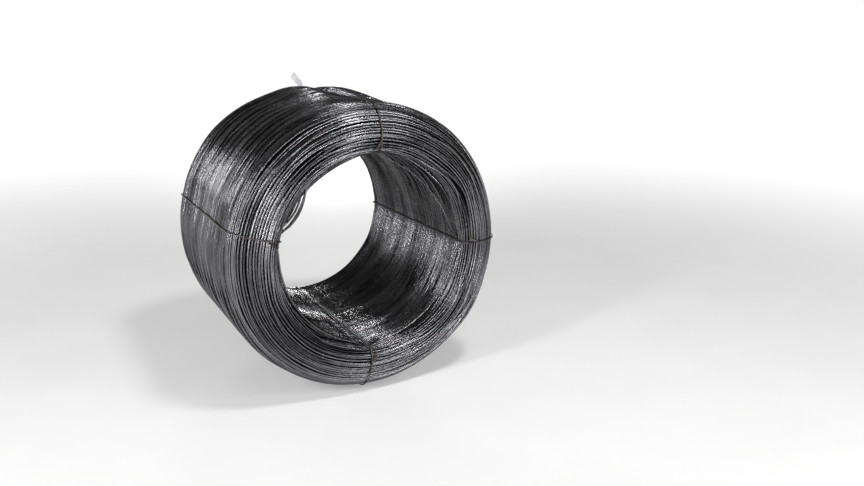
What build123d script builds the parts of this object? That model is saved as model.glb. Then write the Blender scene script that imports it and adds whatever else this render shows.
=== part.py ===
from build123d import *
import os
from math import acos, cos, pi, radians, sin

# Coil of spring steel wire, wound on a mandrel and bound with four ties.
# It lies on its rim: the bore runs along Y, the front end looks towards -Y and +Z is up.
# The origin is on the floor, under the middle of the coil. All sizes are in millimetres.

# The wound wire
coil_diameter = 850.0
bore_diameter = 566.0
coil_width = 670.0
outer_shoulder = 96.0
inner_shoulder = 30.0
wire_diameter = 6.5
turns_per_lay = 4
lay_crown = 0.36
lay_groove = 5.0

# The binding ties
tie_wire = 4.0
tie_sides = 6
tie_angles = {"tie_right": -1.0, "tie_top": 87.0, "tie_left": 166.0, "tie_bottom": 265.5}
seat_gap = 0.3
tie_run = 17.0
valley_cover = 0.4
valley_radius = 16.0

# The twisted ends of a tie, which start on the front face and slant towards the bore
twist_length = 30.0
twist_pitch = 30.0
twist_slant = 28.0
twist_start = 44.0
strand_gap = 0.2
knot_length = 5.0

# The blank tag and the strap at its foot that loops it to the top tie
tag_length = 64.0
tag_width = 34.0
tag_neck = 12.0
tag_neck_length = 6.0
tag_taper_length = 14.0
tag_thickness = 0.8
tag_corner = 6.0
tag_lean = 35.0
tag_tilt = 24.0
tag_groove = 2
strap_thickness = 0.8
strap_width = 3.0
strap_loop = 8.8
strap_sides = 8

coil_radius = coil_diameter / 2
bore_radius = bore_diameter / 2
half_width = coil_width / 2
tie_radius = tie_wire / 2
tie_rise = tie_radius + seat_gap
tie_sink = tie_radius + valley_cover
valley_depth = tie_sink + tie_rise
coil_axis = Axis((0, 0, coil_radius), (0, 1, 0))

# The outline of one end runs from the bore over the lip, across the face and round the shoulder.
lip_run = inner_shoulder * pi / 2
face_run = coil_radius - bore_radius - outer_shoulder - inner_shoulder
end_run = lip_run + face_run + outer_shoulder * pi / 2
lays = round(end_run / (wire_diameter * turns_per_lay))
lay_step = end_run / lays


def end_point(run, depth, side):
    """The point on one end that lies so far along its outline, from the bore, and so deep under the crowns."""
    if run < lip_run:
        angle = run / inner_shoulder
        reach = inner_shoulder - depth
        radial = bore_radius + inner_shoulder - reach * cos(angle)
        axial = half_width - inner_shoulder + reach * sin(angle)
    elif run < lip_run + face_run:
        radial = bore_radius + inner_shoulder + run - lip_run
        axial = half_width - depth
    else:
        angle = (run - lip_run - face_run) / outer_shoulder
        reach = outer_shoulder - depth
        radial = coil_radius - outer_shoulder + reach * sin(angle)
        axial = half_width - outer_shoulder + reach * cos(angle)
    return radial, side * axial


def section_plane(angle):
    """The plane through the bore's axis at an angle from +X: its x is the radius and its y runs along the bore."""
    out = (cos(radians(angle)), 0, sin(radians(angle)))
    return Plane(origin=(0, 0, coil_radius), x_dir=out, z_dir=(-out[2], 0, out[0]))


def end_plane(angle):
    """The plane of the back end, whose x points out from the bore's axis at an angle from +X."""
    out = (cos(radians(angle)), 0, sin(radians(angle)))
    return Plane(origin=(0, half_width, coil_radius), x_dir=out, z_dir=(0, -1, 0))


def lay_points(side):
    """The points along one end: each lay of turns side by side has a flat crown, with a groove to the next lay."""
    half_crown = lay_crown * lay_step / 2
    yield end_point(0, 0, side)
    for lay in range(1, lays):
        yield end_point((lay - 0.5) * lay_step + half_crown, 0, side)
        yield end_point(lay * lay_step, lay_groove, side)
        yield end_point((lay + 0.5) * lay_step - half_crown, 0, side)
    yield end_point(end_run, 0, side)


# The wound section, from the bore's wall over both ends to the barrel
with BuildSketch(section_plane(0)) as section:
    with BuildLine():
        Polyline(*lay_points(-1))
        Polyline(*lay_points(1))
        Line(end_point(0, 0, -1), end_point(0, 0, 1))
        Line(end_point(end_run, 0, -1), end_point(end_run, 0, 1))
    make_face()

# The wound wire, with a shallow valley along the bore and the barrel where each tie draws the turns in
with BuildPart() as wire_coil:
    add(section.sketch)
    revolve(axis=coil_axis)
    for angle in tie_angles.values():
        with BuildSketch(end_plane(angle)):
            with Locations((bore_radius + valley_depth - valley_radius, 0)):
                Circle(valley_radius)
            with Locations((coil_radius - valley_depth + valley_radius, 0)):
                Circle(valley_radius)
        extrude(amount=coil_width, mode=Mode.SUBTRACT)
wire_coil.part.label = "wire_coil"


def bends(shoulder, centre_radial, inward):
    """The bends of a tie's course round one shoulder of the front end, with straight runs between them.

    The runs touch a circle that lies proud of the crowns by the tie's rise.
    """
    rise = shoulder + tie_rise
    leave = acos((shoulder - tie_sink) / rise)
    count = max(1, round((pi / 2 - leave) * rise / tie_run))
    step = (pi / 2 - leave) / count
    turned = [(leave, rise), *((leave + (bend + 0.5) * step, rise / cos(step / 2)) for bend in range(count))]
    return [
        (centre_radial - inward * reach * cos(angle), -half_width + shoulder - reach * sin(angle))
        for angle, reach in turned
    ]


# A tie's course starts on the barrel and goes round the front end, through the bore and round the back end.
over_front = [
    *bends(outer_shoulder, coil_radius - outer_shoulder, -1),
    *reversed(bends(inner_shoulder, bore_radius + inner_shoulder, 1)),
]
over_back = [(radial, -axial) for radial, axial in reversed(over_front)]
tie_course = [(coil_radius - tie_sink, 0), *over_front, *over_back]


def bent_wire(points, close=False):
    """A wire of the ties' size along straight runs, mitred where they meet."""
    with BuildPart() as wire:
        with BuildLine():
            path = Polyline(*points, close=close)
        with BuildSketch(Plane(origin=path @ 0, z_dir=path % 0)):
            RegularPolygon(tie_radius, tie_sides)
        sweep(path=path, transition=Transition.RIGHT)
    return wire.part


def twist_points(plane, phase):
    """The points of one of the two twisted strands, six to the turn, along the z of the plane."""
    steps = round(twist_length / twist_pitch * tie_sides)
    reach = tie_radius + strand_gap / 2
    for step in range(steps + 1):
        turn = radians(phase + 360 * step / tie_sides)
        yield plane.from_local_coords((reach * cos(turn), reach * sin(turn), twist_length * step / steps))


ties = []
for name, angle in tie_angles.items():
    plane = section_plane(angle)
    slant = radians(twist_slant)
    root = (bore_radius + twist_start, -half_width - seat_gap - tie_wire - strand_gap, 0)
    twist = Plane(
        origin=plane.from_local_coords(root),
        x_dir=(0, 1, 0),
        z_dir=plane.from_local_coords((-cos(slant), 0, sin(slant))) - plane.origin,
    )
    course = [plane.from_local_coords((*point, 0)) for point in tie_course]
    wires = [bent_wire(course, close=True), *(bent_wire(twist_points(twist, phase)) for phase in (0, 180))]
    with BuildPart() as tie:
        add(wires)
        with BuildSketch(twist):
            RegularPolygon(tie_wire + strand_gap, tie_sides)
        extrude(amount=knot_length, both=True)
    tie.part.label = name
    ties.append(tie.part)

# The tag's strap passes under the top tie in a groove of the back shoulder, in the plane across the tie
tag_section = section_plane(tie_angles["tie_top"])
groove_run = end_run - tag_groove * lay_step
on_tie = Vector(*end_point(groove_run, -tie_rise, 1))
outward = (on_tie - Vector(*end_point(groove_run, 0, 1))).normalized()
strap_centre = on_tie + outward * (strap_loop / 2 - tie_radius - seat_gap - strap_thickness / 2)
strap_top = strap_centre + outward * strap_loop / 2
strap_plane = Plane(tag_section * Plane(strap_centre, outward, (-outward.Y, outward.X, 0)))

# The tag leans back over the shoulder, out of the plane of its tie by its tilt, with its foot on the strap
lean, tilt = radians(tag_lean), radians(tag_tilt)
tag_side = Vector(-sin(lean), cos(lean), 0)
tag_rise = Vector(cos(lean) * cos(tilt), sin(lean) * cos(tilt), sin(tilt))
tag_plane = Plane(tag_section * Plane(strap_top, tag_side, tag_side.cross(tag_rise)))
with BuildPart() as label_tag:
    with BuildSketch(tag_plane):
        with BuildLine() as blade:
            Polyline(
                (0, -strap_thickness / 2),
                (tag_neck / 2, -strap_thickness / 2),
                (tag_neck / 2, tag_neck_length),
                (tag_width / 2, tag_neck_length + tag_taper_length),
                (tag_width / 2, tag_length),
                (0, tag_length),
            )
            fillet(blade.vertices().group_by(Axis.X)[-1].sort_by(Axis.Y)[-1], tag_corner)
            mirror(about=Plane.YZ)
        make_face()
    extrude(amount=tag_thickness / 2, both=True)
    with BuildSketch(strap_plane):
        RegularPolygon(strap_loop / 2 + strap_thickness / 2, strap_sides)
        RegularPolygon(strap_loop / 2 - strap_thickness / 2, strap_sides, mode=Mode.SUBTRACT)
    extrude(amount=strap_width / 2, both=True)
label_tag.part.label = "label_tag"

os.makedirs("parts", exist_ok=True)
for piece in (wire_coil.part, *ties, label_tag.part):
    export_step(piece, f"parts/{piece.label}.step")
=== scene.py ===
from math import cos, pi, radians, sin

import bmesh
import bpy
from mathutils import Matrix, Vector


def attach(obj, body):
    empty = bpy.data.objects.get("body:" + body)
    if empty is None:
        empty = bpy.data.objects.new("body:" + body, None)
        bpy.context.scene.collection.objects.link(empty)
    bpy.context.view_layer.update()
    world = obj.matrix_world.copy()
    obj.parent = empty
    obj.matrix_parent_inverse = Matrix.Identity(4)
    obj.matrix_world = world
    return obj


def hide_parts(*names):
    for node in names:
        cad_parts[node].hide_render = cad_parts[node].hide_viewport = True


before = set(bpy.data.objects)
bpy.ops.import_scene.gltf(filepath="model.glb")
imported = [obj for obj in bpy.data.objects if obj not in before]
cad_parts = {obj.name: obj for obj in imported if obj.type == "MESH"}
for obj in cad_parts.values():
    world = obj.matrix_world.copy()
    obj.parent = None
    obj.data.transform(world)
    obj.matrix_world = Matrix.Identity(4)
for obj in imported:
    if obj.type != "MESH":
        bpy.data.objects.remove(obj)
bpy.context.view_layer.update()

# Coil of spring steel wire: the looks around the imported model. All lengths are in metres.

# Sizes of the coil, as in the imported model
COIL_RADIUS = 0.425
BORE_RADIUS = 0.283
HALF_WIDTH = 0.335
SHOULDER = 0.096
LIP = 0.030
WIRE = 0.0065
LIP_RUN = LIP * pi / 2
FACE_RUN = COIL_RADIUS - BORE_RADIUS - SHOULDER - LIP
END_RUN = LIP_RUN + FACE_RUN + SHOULDER * pi / 2
BARREL_RUN = 2 * (HALF_WIDTH - SHOULDER)
BORE_RUN = 2 * (HALF_WIDTH - LIP)
MID_BARREL = END_RUN + BARREL_RUN / 2
SEAM = -BORE_RUN / 2
LOOP = 2 * (END_RUN + BARREL_RUN / 2 + BORE_RUN / 2)

# Ties: they lie a gap over the crowns of the ends, and under the wall of the bore and the barrel
TIE_ANGLES = {"tie_right": -1.0, "tie_top": 87.0, "tie_left": 166.0, "tie_bottom": 265.5}
TIE_WIRE = 0.004
SEAT_GAP, VALLEY_COVER = 0.0003, 0.0004
TIE_RISE = TIE_WIRE / 2 + SEAT_GAP
TIE_SINK = TIE_WIRE / 2 + VALLEY_COVER
VALLEY = TIE_RISE + TIE_SINK

# How far to each side of a tie, in degrees, it draws the turns together and draws them in
PINCH_REACH, VALLEY_REACH = 34.0, 9.0

# To both sides of the top tie the turns of the barrel spring up: how high, round which angle and how far round,
# where along the bore and how far along it, and how far to each side the tie holds them down
SWELL = 0.018
SWELL_ANGLE, SWELL_REACH = radians(84), radians(28)
SWELL_PLACE, SWELL_WIDTH = 0.12, 0.26
SWELL_HOLD = radians(4.5)

# A noise node seldom nears its ends, 0 and 1. They are taken to minus this and this, for noise from about -1 to 1.
NOISE_REACH = 1.3


class Value:
    """A socket of a node tree. Python's operators on it add Math nodes."""

    def __init__(self, tree, socket):
        self.tree, self.socket = tree, socket

    def math(self, operation, *others):
        return self.tree.add("ShaderNodeMath", {"operation": operation}, self, *others)

    def __add__(self, other):
        return self.math("ADD", other)

    def __mul__(self, other):
        return self.math("MULTIPLY", other)

    def __sub__(self, other):
        return self.math("SUBTRACT", other)

    def __truediv__(self, other):
        return self.math("DIVIDE", other)

    def __rsub__(self, other):
        return self.tree.add("ShaderNodeMath", {"operation": "SUBTRACT"}, other, self)

    __radd__ = __add__
    __rmul__ = __mul__

    def min(self, other):
        return self.math("MINIMUM", other)

    def max(self, other):
        return self.math("MAXIMUM", other)

    def ramp(self, low, high, start=0.0, end=1.0):
        """The value taken smoothly from low to high onto start to end, and held outside that range."""
        smooth = {"interpolation_type": "SMOOTHSTEP"}
        return self.tree.add("ShaderNodeMapRange", smooth, self, low, high, start, end)


class Tree:
    """A node tree, to which one call adds a node."""

    def __init__(self, tree):
        self.tree = tree

    def add(self, kind, settings=None, *values, out=0, **named):
        """A new node: its settings first, then its inputs by place or by name; returns the output asked for."""
        node = self.tree.nodes.new(kind)
        for key, value in (settings or {}).items():
            setattr(node, key, value)
        for key, value in [*enumerate(values), *named.items()]:
            self.feed(node.inputs[key.replace("_", " ") if isinstance(key, str) else key], value)
        return Value(self, node.outputs[out])

    def feed(self, socket, value):
        """Links a value to a socket, or sets it on the socket; a tuple is a colour."""
        if isinstance(value, Value):
            self.tree.links.new(value.socket, socket)
        else:
            socket.default_value = (*value, 1) if isinstance(value, tuple) else value

    def place(self):
        """The point in the object's own space."""
        return self.add("ShaderNodeTexCoord", None, out=3)

    def vector(self, x, y, z):
        return self.add("ShaderNodeCombineXYZ", None, x, y, z)

    def noise(self, vector, scale=1.0, detail=0.0, roughness=0.5):
        """Smooth noise, from about -1 to 1."""
        found = self.add("ShaderNodeTexNoise", None, Vector=vector, Scale=scale, Detail=detail, Roughness=roughness)
        return found * (2 * NOISE_REACH) - NOISE_REACH

    def color(self, factor, first, second):
        """One colour turned into another by the factor."""
        node = self.tree.nodes.new("ShaderNodeMix")
        node.data_type = "RGBA"
        for place, value in ((0, factor), (6, first), (7, second)):
            self.feed(node.inputs[place], value)
        return Value(self, node.outputs[2])


def blend(factor, first, second):
    """One number turned into another by the factor."""
    return first + (second - first) * factor


def new_material(name, build):
    """A material whose Principled BSDF gets its inputs from what the build function returns for a tree."""
    material = bpy.data.materials.new(name)
    material.use_nodes = True
    tree = Tree(material.node_tree)
    shader = material.node_tree.nodes["Principled BSDF"]
    for socket, value in build(tree).items():
        tree.feed(shader.inputs[socket], value)
    return material


def spring_steel(dark, bright):
    """Hard-drawn spring wire under a thin film of oil: glossy, and uneven from turn to turn and lay to lay."""

    def build(tree):
        place = tree.place()
        tint, lay_tint, along = (
            tree.add("ShaderNodeAttribute", {"attribute_name": name}, out=2)
            for name in ("tint", "lay_tint", "along")
        )
        patches = tree.noise(place, 9.0, 3.0)
        drawn = tree.noise(tree.vector(along * 14.0, tint * 40.0, lay_tint * 9.0), 1.0, 4.0, 0.6)
        shade = (tint * 0.6 - lay_tint * 0.6 + drawn * 0.3 + patches * 0.25).ramp(-0.8, 1.0)
        color = tree.color(shade, dark, bright)
        oily = tree.color((patches * 0.6 + drawn * 0.4).ramp(0.25, 0.9) * 0.5, color, (0.085, 0.072, 0.060))
        rough = (drawn * 0.6 + patches * 0.4).ramp(-0.9, 0.9, 0.15, 0.34)
        grain = tree.noise(place, 60.0, 2.0)
        bump = tree.add("ShaderNodeBump", None, Strength=0.1, Distance=0.0007, Height=grain)
        return {"Base Color": oily, "Metallic": 1.0, "Roughness": rough, "Normal": bump}

    return build


def painted_shade_steel(tree):
    """The turns deep inside, seen only through the gaps, in near-black steel: painted shade for the light that does
    not reach them.
    """
    place = tree.place()
    patches = tree.noise(place, 14.0, 2.0)
    color = tree.color(patches.ramp(-1.0, 1.0), (0.012, 0.012, 0.013), (0.035, 0.034, 0.034))
    return {"Base Color": color, "Metallic": 0.8, "Roughness": 0.55}


def annealed_wire(tree):
    """Soft black binding wire, dull, with a brown cast in places."""
    place = tree.place()
    patches = tree.noise(place, 60.0, 4.0, 0.6)
    color = tree.color(patches.ramp(-0.8, 0.9), (0.026, 0.025, 0.024), (0.150, 0.138, 0.128))
    bump = tree.add("ShaderNodeBump", None, Strength=0.4, Distance=0.0004, Height=tree.noise(place, 700.0, 2.0))
    return {"Base Color": color, "Metallic": 0.85, "Roughness": patches.ramp(-1, 1, 0.30, 0.52), "Normal": bump}


def tag_film(tree):
    """Blank white sheet, a little soiled and creased."""
    place = tree.place()
    soil = tree.noise(place, 55.0, 4.0, 0.65)
    color = tree.color(soil.ramp(0.1, 1.3) * 0.7, (0.88, 0.88, 0.90), (0.62, 0.61, 0.62))
    creases = tree.noise(place, 120.0, 3.0)
    bump = tree.add("ShaderNodeBump", None, Strength=0.35, Distance=0.0008, Height=creases)
    return {"Base Color": color, "Metallic": 0.0, "Roughness": creases.ramp(-1, 1, 0.38, 0.55), "Normal": bump}


def section_point(run, depth, angle, valley):
    """The radius and the place along the bore at a run round the wound section and a depth under its outline.

    The run starts at the front lip's edge with the bore and goes over the front end, the barrel and the back end.
    The valley is the depth to which the ties draw the turns in on the barrel and in the bore. The swell lifts the
    turns of the barrel beside the top tie.
    """
    folded = MID_BARREL - (run - MID_BARREL).math("ABSOLUTE")
    side = (run - MID_BARREL).math("SIGN")
    lip_angle = (folded / LIP).max(0.0).min(pi / 2)
    shoulder_angle = ((folded - LIP_RUN - FACE_RUN) / SHOULDER).max(0.0).min(pi / 2)
    shoulder_reach = SHOULDER - depth
    lip_reach = LIP - depth
    radial = (
        BORE_RADIUS + LIP - lip_reach * lip_angle.math("COSINE") + (folded - LIP_RUN).max(0.0).min(FACE_RUN)
        + shoulder_reach * shoulder_angle.math("SINE")
    )
    axial = (
        HALF_WIDTH - LIP + lip_reach * lip_angle.math("SINE")
        - shoulder_reach * (1.0 - shoulder_angle.math("COSINE"))
        + folded.min(0.0) - (folded - END_RUN).max(0.0)
    )
    radial = radial.min(COIL_RADIUS - depth - valley).max(BORE_RADIUS + depth + valley)
    axial = axial * side
    swell = (angle - SWELL_ANGLE).math("COSINE").ramp(cos(SWELL_REACH), 1.0, 0.0, SWELL)
    swell = swell * ((axial - SWELL_PLACE).math("ABSOLUTE") / SWELL_WIDTH).ramp(0.0, 1.0, 1.0, 0.0)
    swell = swell * (angle - radians(TIE_ANGLES["tie_top"])).math("COSINE").ramp(cos(SWELL_HOLD), 1.0, 1.0, 0.0)
    return radial + swell * folded.ramp(END_RUN - SHOULDER, END_RUN), axial


def turned(tree, radial, axial, angle):
    """The point at a radius and a place along the bore, turned to an angle round the bore."""
    return tree.vector(radial * angle.math("COSINE"), axial, radial * angle.math("SINE") + COIL_RADIUS)


def near_ties(angle, reach):
    """1 at each tie, falling to 0 at a reach in degrees to either side of it."""
    total = None
    for tie_angle in TIE_ANGLES.values():
        near = (angle - radians(tie_angle)).math("COSINE").ramp(cos(radians(reach)), 1.0)
        total = near if total is None else total.max(near)
    return total


def group_inputs(name, inputs):
    """A Geometry Nodes tree with named inputs; returns the tree and its inputs by name."""
    nodes = bpy.data.node_groups.new(name, "GeometryNodeTree")
    nodes.interface.new_socket("Geometry", in_out="OUTPUT", socket_type="NodeSocketGeometry")
    for key, kind in inputs.items():
        nodes.interface.new_socket(key, in_out="INPUT", socket_type=f"NodeSocket{kind}")
    tree = Tree(nodes)
    entry = nodes.nodes.new("NodeGroupInput")
    return tree, {key: Value(tree, entry.outputs[key]) for key in inputs}


def finish_tree(tree, geometry, material):
    """Ends a tree with smooth shading, Realize Instances and Set Material."""
    smooth = tree.add("GeometryNodeSetShadeSmooth", None, geometry)
    real = tree.add("GeometryNodeRealizeInstances", None, smooth)
    done = tree.add("GeometryNodeSetMaterial", None, real, Material=material)
    exit_node = tree.tree.nodes.new("NodeGroupOutput")
    tree.feed(exit_node.inputs[0], done)


def new_object(name, data):
    """A new object in the scene."""
    made = bpy.data.objects.new(name, data)
    bpy.context.scene.collection.objects.link(made)
    return made


def run_tree(tree, name, values):
    """The plain mesh object that a tree makes from its input values."""
    holder = new_object(f"{name}_holder", bpy.data.meshes.new(f"{name}_holder"))
    modifier = holder.modifiers.new("tree", "NODES")
    modifier.node_group = tree.tree
    for item in tree.tree.interface.items_tree:
        if item.in_out == "INPUT" and item.name in values:
            modifier[item.identifier] = values[item.name]
    graph = bpy.context.evaluated_depsgraph_get()
    mesh = bpy.data.meshes.new_from_object(holder.evaluated_get(graph))
    holder.modifiers.clear()
    bpy.data.objects.remove(holder)
    mesh.name = name
    return new_object(name, mesh)


def tube(tree, chain, take, closed=False):
    """A wire along a chain of vertices, which is closed into a ring or has its ends capped."""
    curve = tree.add("GeometryNodeMeshToCurve", None, chain)
    if closed:
        curve = tree.add("GeometryNodeSetSplineCyclic", None, curve, Cyclic=True)
    profile = tree.add(
        "GeometryNodeCurvePrimitiveCircle", {"mode": "RADIUS"}, Resolution=take["Sides"], Radius=take["Radius"])
    return tree.add("GeometryNodeCurveToMesh", None, Curve=curve, Profile_Curve=profile, Fill_Caps=not closed)


# The counts of turns in the lays sway in waves, each with its pace and its size in turns
LAY_SWAYS = ((0.71, 0.12), (0.29, 0.2))
# How far the wire's small kinks go along the section and into it
KINK = 0.0005
# The shares by which a tie evens out the lays and calms the wander of the turns
PINCH_EVENS, PINCH_CALMS = 0.55, 0.75
# A strand that rides on the lays comes down to them near the floor, between these two sines of the angle
FLOOR_FADE = (-0.85, -0.55)
# The share of a turn over which a loose strand's end goes down
FREE_END = 0.08


def turns_tree():
    """One strand of wire that winds round the bore and creeps round the section, in lays with gaps between them."""
    tree, take = group_inputs("turns", {
        "First turn": "Float", "Turns": "Float", "Segments": "Int", "Sides": "Int", "Radius": "Float",
        "Start run": "Float", "Depth": "Float", "Turns per lay": "Float", "Lay pitch": "Float",
        "Lay change": "Float", "Spacing": "Float", "Wander": "Float", "Stagger": "Float", "Relief": "Float",
        "Ride": "Float", "Slack": "Float", "Slack angle": "Float", "Slack reach": "Float", "Slack rise": "Float",
        "Tuck": "Float", "Seed": "Float", "Material": "Material",
    })
    count = take["Turns"] * take["Segments"] + 1.0
    line = tree.add("GeometryNodeMeshLine", None, count)
    wound = tree.add("GeometryNodeInputIndex", None) / take["Segments"]
    turn = take["First turn"] + wound
    angle = turn * (2 * pi)
    east, north = angle.math("COSINE"), angle.math("SINE")
    pinch = near_ties(angle, PINCH_REACH)

    def wave(spread, key):
        """Noise that runs on smoothly round the bore, faster with more spread; far keys are unlike each other."""
        return tree.noise(tree.vector(east * spread, north * spread, key), 1.0, 1.0)

    # Lays of turns side by side: lay counts them, and change takes the strand from one to the next
    uneven = turn
    for pace, sway in LAY_SWAYS:
        uneven = uneven + (turn * pace + take["Seed"]).math("SINE") * sway
    lays = uneven / take["Turns per lay"]
    lay = lays.math("FLOOR")
    part = lays.math("FRACT")
    kept = 1.0 - take["Lay change"]
    change = part.ramp(kept, 1.0)
    within = part.min(kept) / kept - 0.5 - change
    grouped = take["Lay pitch"] * (lay + change + 0.5) + take["Spacing"] * take["Turns per lay"] * kept * within
    even = take["Lay pitch"] * lays
    run = take["Start run"] + blend(pinch * PINCH_EVENS, grouped, even)

    # Wander of each lay to either side, and its rise and fall, calmed at the ties
    drift, rise = [], []
    for step in (0.0, 1.0):
        key = (lay + step) * 3.7 + take["Seed"]
        drift.append(wave(0.9, key))
        rise.append(wave(1.3, key + 50.0))
    calm = 1.0 - pinch * PINCH_CALMS
    run = run + blend(change, *drift) * take["Wander"] * calm
    strand = wave(1.3, turn * 2.3 + take["Seed"])
    stagger = wave(1.6, turn * 2.9 + take["Seed"] + 80.0)
    kinks = wave(6.0, turn * 2.3 + take["Seed"])
    run = run + stagger * take["Stagger"] * calm + kinks * KINK
    height = blend(change, *rise)
    lift = (height * 0.7 + strand * 0.6 + 0.6).max(0.0) * take["Relief"] * calm + (kinks + 1.0).max(0.0) * KINK
    depth = take["Depth"] + take["Radius"] + lift - take["Ride"] * (1.0 - pinch) * north.ramp(*FLOOR_FADE)

    # A loose strand's ends go down between the turns under it
    free_end = wound.min(take["Turns"] - wound).ramp(0.0, FREE_END, 1.0, 0.0)
    depth = depth + free_end * take["Tuck"]

    valley = near_ties(angle, VALLEY_REACH) * VALLEY
    radial, axial = section_point(run, depth, angle, valley)

    # Slack turns in the bore take the straight way from tie to tie, each by its own share
    edge = take["Slack reach"].math("COSINE")
    swing = (angle - take["Slack angle"]).math("COSINE").max(edge)
    share = (turn * 1.7 + take["Seed"]).math("SINE") * 0.4 + 0.6
    straight = 1.0 - edge / swing
    radial = radial - straight * BORE_RADIUS * take["Slack"] * share - straight.ramp(0.0, 0.1) * take["Slack rise"]
    placed = tree.add("GeometryNodeSetPosition", None, line, Position=turned(tree, radial, axial, angle))
    for name, value in (("along", angle * COIL_RADIUS), ("tint", strand), ("lay_tint", height)):
        placed = tree.add(
            "GeometryNodeStoreNamedAttribute", {"data_type": "FLOAT", "domain": "POINT"}, placed,
            Name=name, Value=value)
    finish_tree(tree, tube(tree, placed, take), take["Material"])
    return tree


MATERIALS = {
    "upper_wire": new_material("upper_wire", spring_steel((0.022, 0.022, 0.024), (0.262, 0.259, 0.272))),
    # The lower wire is the upper wire's steel darkened several times over: painted shade for the turns deep between
    # the lays
    "painted_shade_lower_wire": new_material("painted_shade_lower_wire", spring_steel((0.010, 0.010, 0.011), (0.050, 0.050, 0.052))),
    "painted_shade_inner_wire": new_material("painted_shade_inner_wire", painted_shade_steel),
    "tie_wire": new_material("tie_wire", annealed_wire),
    "tag": new_material("tag", tag_film),
}


def settle(piece, slot, *nodes):
    """Lets a finished piece ride with the coil, in the place of the nodes that it shows."""
    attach(piece, "root")
    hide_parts(*nodes)


turns = turns_tree()


def wind(name, sizes, start, count, first_turn=0):
    """A piece of the winding: one strand from a start on the section's run, with its count of turns."""
    piece = run_tree(turns, name, {
        **sizes, "Radius": WIRE / 2, "Start run": start, "First turn": float(first_turn), "Turns": float(count)})
    settle(piece, "spring_wire", "wire_coil")


# The turns, in two layers. Each layer is one strand, cut into pieces by where it runs. The lower layer wears a
# darkened copy of the steel as painted shade.
LAYERS = {
    "upper": {
        "Depth": 0.0, "Turns per lay": 4.0, "Lay change": 0.16, "Lay pitch": 0.0350, "Spacing": 0.0084,
        "Wander": 0.0090, "Stagger": 0.0028, "Relief": 0.0030, "Seed": 3.1, "Segments": 144, "Sides": 6,
        "Material": MATERIALS["upper_wire"],
    },
    "lower": {
        "Depth": 0.0096, "Turns per lay": 7.0, "Lay change": 0.12, "Lay pitch": 0.0500, "Spacing": 0.0070,
        "Wander": 0.0045, "Stagger": 0.0010, "Relief": 0.0010, "Seed": 11.7, "Segments": 120, "Sides": 5,
        "Material": MATERIALS["painted_shade_lower_wire"],
    },
}
# The piece of each end goes this far into the bore, and this far onto the barrel
INTO_BORE, ONTO_BARREL = 0.010, 0.015
REGIONS = {
    "front_bore": (SEAM, -INTO_BORE),
    "front_end": (-INTO_BORE, END_RUN + ONTO_BARREL),
    "barrel": (END_RUN + ONTO_BARREL, END_RUN + BARREL_RUN - ONTO_BARREL),
    "back_end": (END_RUN + BARREL_RUN - ONTO_BARREL, 2 * MID_BARREL + INTO_BORE),
    "back_bore": (2 * MID_BARREL + INTO_BORE, SEAM + LOOP),
}
for layer, sizes in LAYERS.items():
    per_metre = sizes["Turns per lay"] / sizes["Lay pitch"]
    for region, ends in REGIONS.items():
        first_turn, last_turn = (round((end - SEAM) * per_metre) for end in ends)
        wind(f"{layer}_turns_{region}", sizes, SEAM, last_turn - first_turn, first_turn)

# Stray turns that cross over the lays: where they start, how many, how far apart, and their seed
STRAYS = {
    "barrel": (END_RUN - 0.02, 11, 0.047, 21.0),
    "front_end": (0.01, 8, 0.026, 33.0),
    "back_end": (END_RUN + BARREL_RUN + 0.01, 5, 0.040, 41.0),
    "bore": (SEAM + 0.02, 6, 0.050, 57.0),
}
for region, (start, count, pitch, seed) in STRAYS.items():
    wind(f"stray_turns_{region}", {
        **LAYERS["upper"], "Turns per lay": 1.0, "Lay change": 0.6, "Lay pitch": pitch, "Spacing": 0.0,
        "Wander": 0.026, "Relief": 0.0005, "Ride": 0.0050, "Tuck": 0.010, "Seed": seed,
    }, start, count)

# Slack turns inside the bore: where they start, how many, how slack, between which angles, and their seed
SLACK = {
    "left": (-0.180, 18, 0.30, 87.0, 166.0, 5.0),
    "left_fan": (-0.064, 7, 2.70, 130.0, 166.0, 4.4),
    "right": (-0.020, 1, 0.50, -1.0, 87.0, 2.2),
    "low_right": (-0.040, 4, 0.16, 265.5, 359.0, 8.4),
    "low_left": (-0.050, 4, 0.14, 166.0, 265.5, 1.3),
}
for name, (start, count, slack, first, last, seed) in SLACK.items():
    wind(f"slack_turns_{name}", {
        **LAYERS["upper"], "Depth": 0.0030, "Wander": 0.004, "Stagger": 0.003, "Relief": 0.0, "Seed": seed,
        "Slack": slack, "Slack rise": 0.0070, "Slack angle": radians((first + last) / 2),
        "Slack reach": radians((last - first) / 2),
    }, start, count)


def core_tree():
    """The wound section's inner body, revolved round the bore under the turns."""
    tree, take = group_inputs("core", {"Depth": "Float", "Steps": "Int", "Rows": "Int", "Material": "Material"})
    grid = tree.add("GeometryNodeMeshGrid", None, 1.0, 1.0, take["Steps"] + 1.0, take["Rows"] + 1.0)
    index = tree.add("GeometryNodeInputIndex", None)
    row_count = take["Rows"] + 1.0
    column = (index / row_count).math("FLOOR")
    row = index - column * row_count
    angle = column / take["Steps"] * (2 * pi)
    run = SEAM + row / take["Rows"] * LOOP
    valley = near_ties(angle, VALLEY_REACH) * VALLEY
    radial, axial = section_point(run, take["Depth"], angle, valley)
    placed = tree.add("GeometryNodeSetPosition", None, grid, Position=turned(tree, radial, axial, angle))
    merged = tree.add("GeometryNodeMergeByDistance", None, placed, Distance=0.00005)
    finish_tree(tree, merged, take["Material"])
    return tree


# How far round, in radians, a tie sways from its angle
TIE_SWAY = 0.0045


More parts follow.
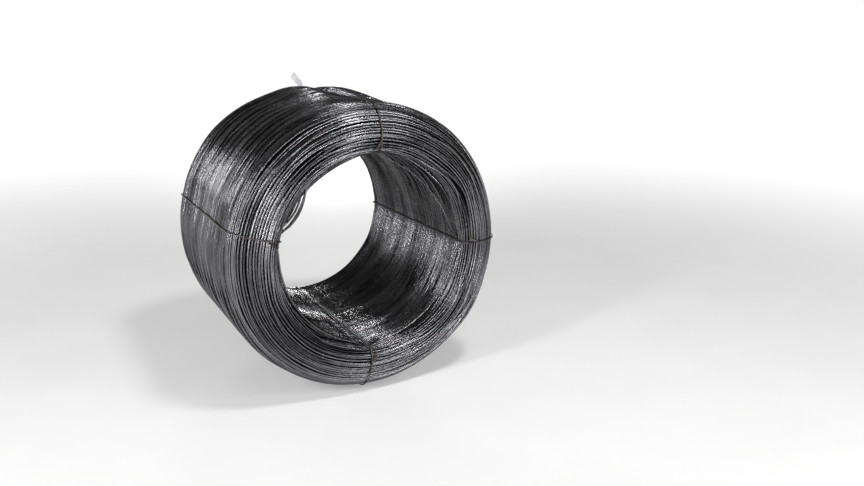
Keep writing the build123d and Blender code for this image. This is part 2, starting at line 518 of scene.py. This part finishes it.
def tie_tree():
    """A tie's wire, which goes once round the section through the bore, at one angle."""
    tree, take = group_inputs("tie", {
        "Angle": "Float", "Steps": "Int", "Sides": "Int", "Radius": "Float", "Seed": "Float", "Material": "Material"})
    line = tree.add("GeometryNodeMeshLine", None, take["Steps"])
    run = SEAM + tree.add("GeometryNodeInputIndex", None) / take["Steps"] * LOOP
    angle = take["Angle"] + tree.noise(tree.vector(run * 9.0, take["Seed"], 0.0), 1.0, 1.0) * TIE_SWAY
    radial, axial = section_point(run, -TIE_RISE, angle, VALLEY)
    placed = tree.add("GeometryNodeSetPosition", None, line, Position=turned(tree, radial, axial, angle))
    finish_tree(tree, tube(tree, placed, take, closed=True), take["Material"])
    return tree


def twist_tree():
    """The two ends of a tie twisted round each other along z, which spread at their cut tips and draw back there."""
    tree, take = group_inputs("twist", {
        "Length": "Float", "Pitch": "Float", "Reach": "Float", "Spread": "Float", "Draw": "Float", "Steps": "Int",
        "Sides": "Int", "Radius": "Float", "Material": "Material",
    })
    strands = tree.tree.nodes.new("GeometryNodeJoinGeometry")
    for phase in (0.0, pi):
        line = tree.add("GeometryNodeMeshLine", None, take["Steps"] + 1.0)
        share = tree.add("GeometryNodeInputIndex", None) / take["Steps"]
        turn = share * take["Length"] / take["Pitch"] * (2 * pi) + phase
        reach = take["Reach"] * share.ramp(0.0, 0.12, 0.35, 1.0) + take["Spread"] * share.ramp(0.72, 1.1)
        along = share * take["Length"] - share.ramp(0.8, 1.2) * take["Draw"]
        place = tree.vector(reach * turn.math("COSINE"), reach * turn.math("SINE"), along)
        placed = tree.add("GeometryNodeSetPosition", None, line, Position=place)
        tree.tree.links.new(tube(tree, placed, take).socket, strands.inputs[0])
    finish_tree(tree, Value(tree, strands.outputs[0]), take["Material"])
    return tree


def joined(piece, other):
    """The first piece, with the mesh of the other put into it."""
    together = bmesh.new()
    together.from_mesh(piece.data)
    together.from_mesh(other.data)
    together.to_mesh(piece.data)
    together.free()
    bpy.data.objects.remove(other)
    return piece


def section_frame(angle):
    """The matrix of the plane through the bore at an angle: x is the radius, y the bore and z the way round."""
    east, north = cos(radians(angle)), sin(radians(angle))
    return Matrix(((east, 0, -north, 0), (0, 1, 0, 0), (north, 0, east, COIL_RADIUS), (0, 0, 0, 1)))


def frame_of(origin, across, up):
    """The matrix that takes local x along across and local z along up, from an origin."""
    z = Vector(up).normalized()
    y = z.cross(Vector(across)).normalized()
    x = y.cross(z)
    return Matrix.Translation(origin) @ Matrix((x, y, z)).transposed().to_4x4()


# The ties, with their twisted ends on the front face. The ends start this far out from the bore's wall and this far
# in front of the face. They slant towards the bore and lean a little away from the face.
TWIST_START, TWIST_FRONT = 0.044, 0.0045
TWIST_SLANT, TWIST_LEAN = radians(28), 0.06
TWIST = {"Length": 0.033, "Reach": 0.0021, "Spread": 0.0035, "Draw": 0.004, "Steps": 48}
# The pitch of the first tie's ends, and how much coarser it is on each next tie
TWIST_PITCH, PITCH_GROWTH = 0.014, 0.0015
tie_loops, twists = tie_tree(), twist_tree()
twist_root = Vector((BORE_RADIUS + TWIST_START, -HALF_WIDTH - TWIST_FRONT, 0))
twist_way = Vector((-cos(TWIST_SLANT), -TWIST_LEAN, sin(TWIST_SLANT)))
for seed, (node, angle) in enumerate(TIE_ANGLES.items()):
    wire = {"Radius": TIE_WIRE / 2, "Sides": 8, "Material": MATERIALS["tie_wire"]}
    tie = run_tree(tie_loops, f"{node}_wire", {**wire, "Angle": radians(angle), "Steps": 240, "Seed": seed * 7.3})
    ends = run_tree(twists, f"{node}_ends", {**wire, **TWIST, "Pitch": TWIST_PITCH + PITCH_GROWTH * seed})
    ends.data.transform(section_frame(angle) @ frame_of(twist_root, (0, 1, 0), twist_way))
    settle(joined(tie, ends), "tie_wire", node)

# The tag: a blank sheet on a strap that loops the top tie in a groove of the back shoulder, the second groove from
# the barrel where an end has eight lays
TAG_LENGTH, TAG_WIDTH, TAG_NECK, TAG_NECK_LENGTH, TAG_TAPER, TAG_CORNER = 0.064, 0.034, 0.012, 0.006, 0.014, 0.006
TAG_THICK, STRAP_WIDTH, STRAP_LOOP = 0.0008, 0.003, 0.0088
TAG_LEAN, TAG_TILT = radians(35), radians(24)
TAG_GROOVE, LAYS = 2, 8
# How far the tag is hollow across, bowed along and waved at its free end
TAG_HOLLOW, TAG_BOW, TAG_WAVE = 0.0045, 0.004, 0.0012
# The strap's tails: their length, their width at the foot and how fast it tapers, their thickness, how far they
# wave and are hollow, how far up the tag they start, and how much they go to the side, up the tag and outwards
TAIL_LENGTH, TAIL_WIDTH, TAIL_TAPER, TAIL_THICK = 0.013, 0.0045, 0.08, 0.0007
TAIL_WAVE, TAIL_HOLLOW = 0.002, 0.0008
TAIL_FOOT = 0.0012
TAIL_SIDE, TAIL_UP, TAIL_OUT = 0.9, 0.25, 0.2
shoulder_turn = (END_RUN * (1 - TAG_GROOVE / LAYS) - LIP_RUN - FACE_RUN) / SHOULDER
strap_out = Vector((sin(shoulder_turn), cos(shoulder_turn), 0))
strap_centre = Vector((COIL_RADIUS - SHOULDER, HALF_WIDTH - SHOULDER, 0)) + strap_out * (
    SHOULDER + TIE_RISE + STRAP_LOOP / 2 - TIE_WIRE / 2 - SEAT_GAP - TAG_THICK / 2)


def sheet_strip(mesh, rows, width_at, bend_at, thickness):
    """Adds a strip to a bmesh: z runs along it, x across it, and y is its bend.

    Solidify adds a back side, which lies on the front one: the mesh has no normals here, along which it could thicken.
    """
    columns = 9
    grid = [
        [mesh.verts.new((width_at(z) * (c / (columns - 1) - 0.5), bend_at(z, 2 * c / (columns - 1) - 1), z))
         for c in range(columns)]
        for z in rows
    ]
    faces = [
        mesh.faces.new((low[c], low[c + 1], high[c + 1], high[c]))
        for low, high in zip(grid, grid[1:]) for c in range(columns - 1)
    ]
    bmesh.ops.solidify(mesh, geom=faces, thickness=thickness)


def tag_width_at(z):
    """The tag's width: a neck, a taper and parallel sides with rounded top corners."""
    taper = min(1.0, max(0.0, (z - TAG_NECK_LENGTH) / TAG_TAPER))
    corner = max(0.0, 1 - (TAG_LENGTH - z) / TAG_CORNER)
    smooth = taper * taper * (3 - 2 * taper)
    return TAG_NECK + (TAG_WIDTH - TAG_NECK) * smooth - 2 * TAG_CORNER * (1 - (1 - corner * corner) ** 0.5)


def tag_bend_at(z, across):
    """The tag's curl: hollow across, bowed along, with a slight wave at its free end."""
    far = z / TAG_LENGTH
    wave = TAG_WAVE * sin(across * 3 + far * 7) * far
    return TAG_HOLLOW * across * across * far - TAG_BOW * sin(far * pi) + wave


def place_tag():
    """The tag and its strap, as one piece on the top tie."""
    mesh = bmesh.new()
    rows = [TAG_LENGTH * step / 22 for step in range(22)] + [TAG_LENGTH * 0.985, TAG_LENGTH]
    sheet_strip(mesh, rows, tag_width_at, tag_bend_at, TAG_THICK)
    lean = Vector((-sin(TAG_LEAN), cos(TAG_LEAN), 0))
    rise = Vector((cos(TAG_LEAN) * cos(TAG_TILT), sin(TAG_LEAN) * cos(TAG_TILT), sin(TAG_TILT)))
    foot = strap_centre + strap_out * STRAP_LOOP / 2
    mesh.transform(frame_of(foot, lean, rise))

    # The strap's two short tails, one to each side of the foot
    for side in (-1, 1):
        tail = bmesh.new()
        sheet_strip(
            tail, [TAIL_LENGTH * step / 6 for step in range(7)], lambda z: TAIL_WIDTH - z * TAIL_TAPER,
            lambda z, across: side * TAIL_WAVE * sin(z * 300) + TAIL_HOLLOW * across * across, TAIL_THICK)
        tail_way = lean * side * TAIL_SIDE + rise * TAIL_UP + strap_out * TAIL_OUT
        tail.transform(frame_of(foot + rise * TAIL_FOOT, rise.cross(lean), tail_way))
        finished = bpy.data.meshes.new("tail")
        tail.to_mesh(finished)
        tail.free()
        mesh.from_mesh(finished)
        bpy.data.meshes.remove(finished)

    # The strap's loop round the tie
    along_tie = Vector((cos(shoulder_turn), -sin(shoulder_turn), 0))
    steps = 28
    rings = []
    for step in range(steps):
        turn = 2 * pi * step / steps
        out = strap_out * cos(turn) + Vector((0, 0, 1)) * sin(turn)
        rings.append([
            mesh.verts.new(strap_centre + out * (STRAP_LOOP / 2 + dr * TAG_THICK) + along_tie * da * STRAP_WIDTH)
            for dr, da in ((0.5, -0.5), (0.5, 0.5), (-0.5, 0.5), (-0.5, -0.5))
        ])
    for first, second in zip(rings, rings[1:] + rings[:1]):
        for corner in range(4):
            mesh.faces.new((first[corner], first[corner - 1], second[corner - 1], second[corner]))
    bmesh.ops.recalc_face_normals(mesh, faces=mesh.faces)
    mesh.transform(section_frame(TIE_ANGLES["tie_top"]))
    for face in mesh.faces:
        face.smooth = True
    data = bpy.data.meshes.new("tag_sheet")
    mesh.to_mesh(data)
    mesh.free()
    data.materials.append(MATERIALS["tag"])
    settle(new_object("tag_sheet", data), "tag", "label_tag")


place_tag()

# The body under the turns, which closes the gaps between them; its near-black steel is painted shade
core = run_tree(core_tree(), "inner_turns", {
    "Depth": 0.0190, "Steps": 96, "Rows": 72, "Material": MATERIALS["painted_shade_inner_wire"]})
settle(core, "spring_wire", "wire_coil")


# Camera: fitted to the coil's outline in the photograph
CAMERA_AZIMUTH, CAMERA_ELEVATION, CAMERA_ROLL = -0.5001, 0.2675, 0.0026
CAMERA_DISTANCE, CAMERA_FOCUS = 2.7541, 804.55
CAMERA_TARGET = Vector((0.3577, 0.0, 0.3314))
IMAGE_WIDTH, SENSOR = 864, 36.0
level = cos(CAMERA_ELEVATION)
toward = Vector((sin(CAMERA_AZIMUTH) * level, -cos(CAMERA_AZIMUTH) * level, sin(CAMERA_ELEVATION)))
camera_data = bpy.data.cameras.new("camera")
camera_data.sensor_fit, camera_data.sensor_width = "HORIZONTAL", SENSOR
camera_data.lens = CAMERA_FOCUS * SENSOR / IMAGE_WIDTH
camera = new_object("camera", camera_data)
camera.location = CAMERA_TARGET + toward * CAMERA_DISTANCE
camera.rotation_euler = (
    toward.to_track_quat("Z", "Y").to_matrix() @ Matrix.Rotation(CAMERA_ROLL, 3, "Z")).to_euler()
bpy.context.scene.camera = camera

# Where each lamp hangs, its size and its power; all of them look at the middle of the coil
LAMPS = {
    "left_high": ((-2.44, -1.19, 1.75), (0.45, 1.10), 46),
    "left_low": ((-3.01, -3.71, 0.55), (0.62, 0.62), 62),
    "front_low": ((1.12, -4.64, 0.47), (0.56, 0.52), 47),
    "front_high": ((1.05, -2.75, 1.20), (0.50, 0.30), 9),
    "right_high": ((1.45, -2.30, 1.70), (0.50, 0.35), 15),
    "overhead": ((0.50, -1.25, 3.10), (0.50, 0.35), 39),
    "behind": ((-1.88, 2.32, 0.90), (0.50, 0.50), 6),
    "behind_low": ((1.75, 4.25, 0.70), (1.00, 0.60), 58),
}
for name, (place, size, watts) in LAMPS.items():
    data = bpy.data.lights.new(name, "AREA")
    data.shape, data.size, data.size_y, data.energy = "RECTANGLE", *size, watts
    lamp = new_object(name, data)
    lamp.location = place
    lamp.rotation_euler = (Vector(place) - Vector((0, 0, COIL_RADIUS))).to_track_quat("Z", "Y").to_euler()

# The world is white at the horizon and dim above it, and fades between two heights of the line of sight
WORLD_LEVEL = 0.16
HORIZON = (0.03, 0.15)
world = bpy.data.worlds.new("studio")
bpy.context.scene.world = world
world.use_nodes = True
tree = Tree(world.node_tree)
direction = tree.add("ShaderNodeTexCoord", None, out=0)
height = tree.add("ShaderNodeSeparateXYZ", None, direction, out=2)
background = world.node_tree.nodes["Background"]
tree.feed(background.inputs["Color"], (1, 1, 1))
tree.feed(background.inputs["Strength"], height.ramp(*HORIZON, 1.0, WORLD_LEVEL))

# The floor is pale near the coil and goes over into white between two distances from it
FLOOR_REACH = 60
FLOOR_WHITENS = (1.1, 4.6)
floor_mesh = bpy.data.meshes.new("floor")
corners = [(x * FLOOR_REACH, y * FLOOR_REACH, 0) for x, y in ((-1, -1), (1, -1), (1, 1), (-1, 1))]
floor_mesh.from_pydata(corners, [], [(0, 1, 2, 3)])
floor = new_object("floor", floor_mesh)


def pale_floor(tree):
    """Pale matt floor with faint mottling; the camera sees it turn white with distance."""
    place = tree.place()
    path = tree.tree.nodes.new("ShaderNodeLightPath")
    distance = tree.add("ShaderNodeVectorMath", {"operation": "LENGTH"}, place, out=1)
    far = distance.ramp(*FLOOR_WHITENS)
    seen = [Value(tree, path.outputs[f"Is {kind} Ray"]) for kind in ("Camera", "Glossy", "Transmission")]
    far = far * seen[0].max(seen[1]).max(seen[2])
    mottle = tree.noise(place, 3.0, 4.0)
    near = tree.color(mottle.ramp(-1, 1), (0.62, 0.62, 0.615), (0.66, 0.66, 0.655))
    return {
        "Base Color": tree.color(far, near, (0.0, 0.0, 0.0)), "Roughness": 0.8,
        "Emission Color": tree.color(far, (0.26, 0.26, 0.26), (1.0, 1.0, 1.0)), "Emission Strength": 1.0,
    }


floor_mesh.materials.append(new_material("floor", pale_floor))

for name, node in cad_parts.items():
    slot = {"wire_coil": "upper_wire", "label_tag": "tag"}.get(name, "tie_wire")
    node.data.materials.clear()
    node.data.materials.append(MATERIALS[slot])

bpy.context.scene.view_settings.view_transform = "Standard"
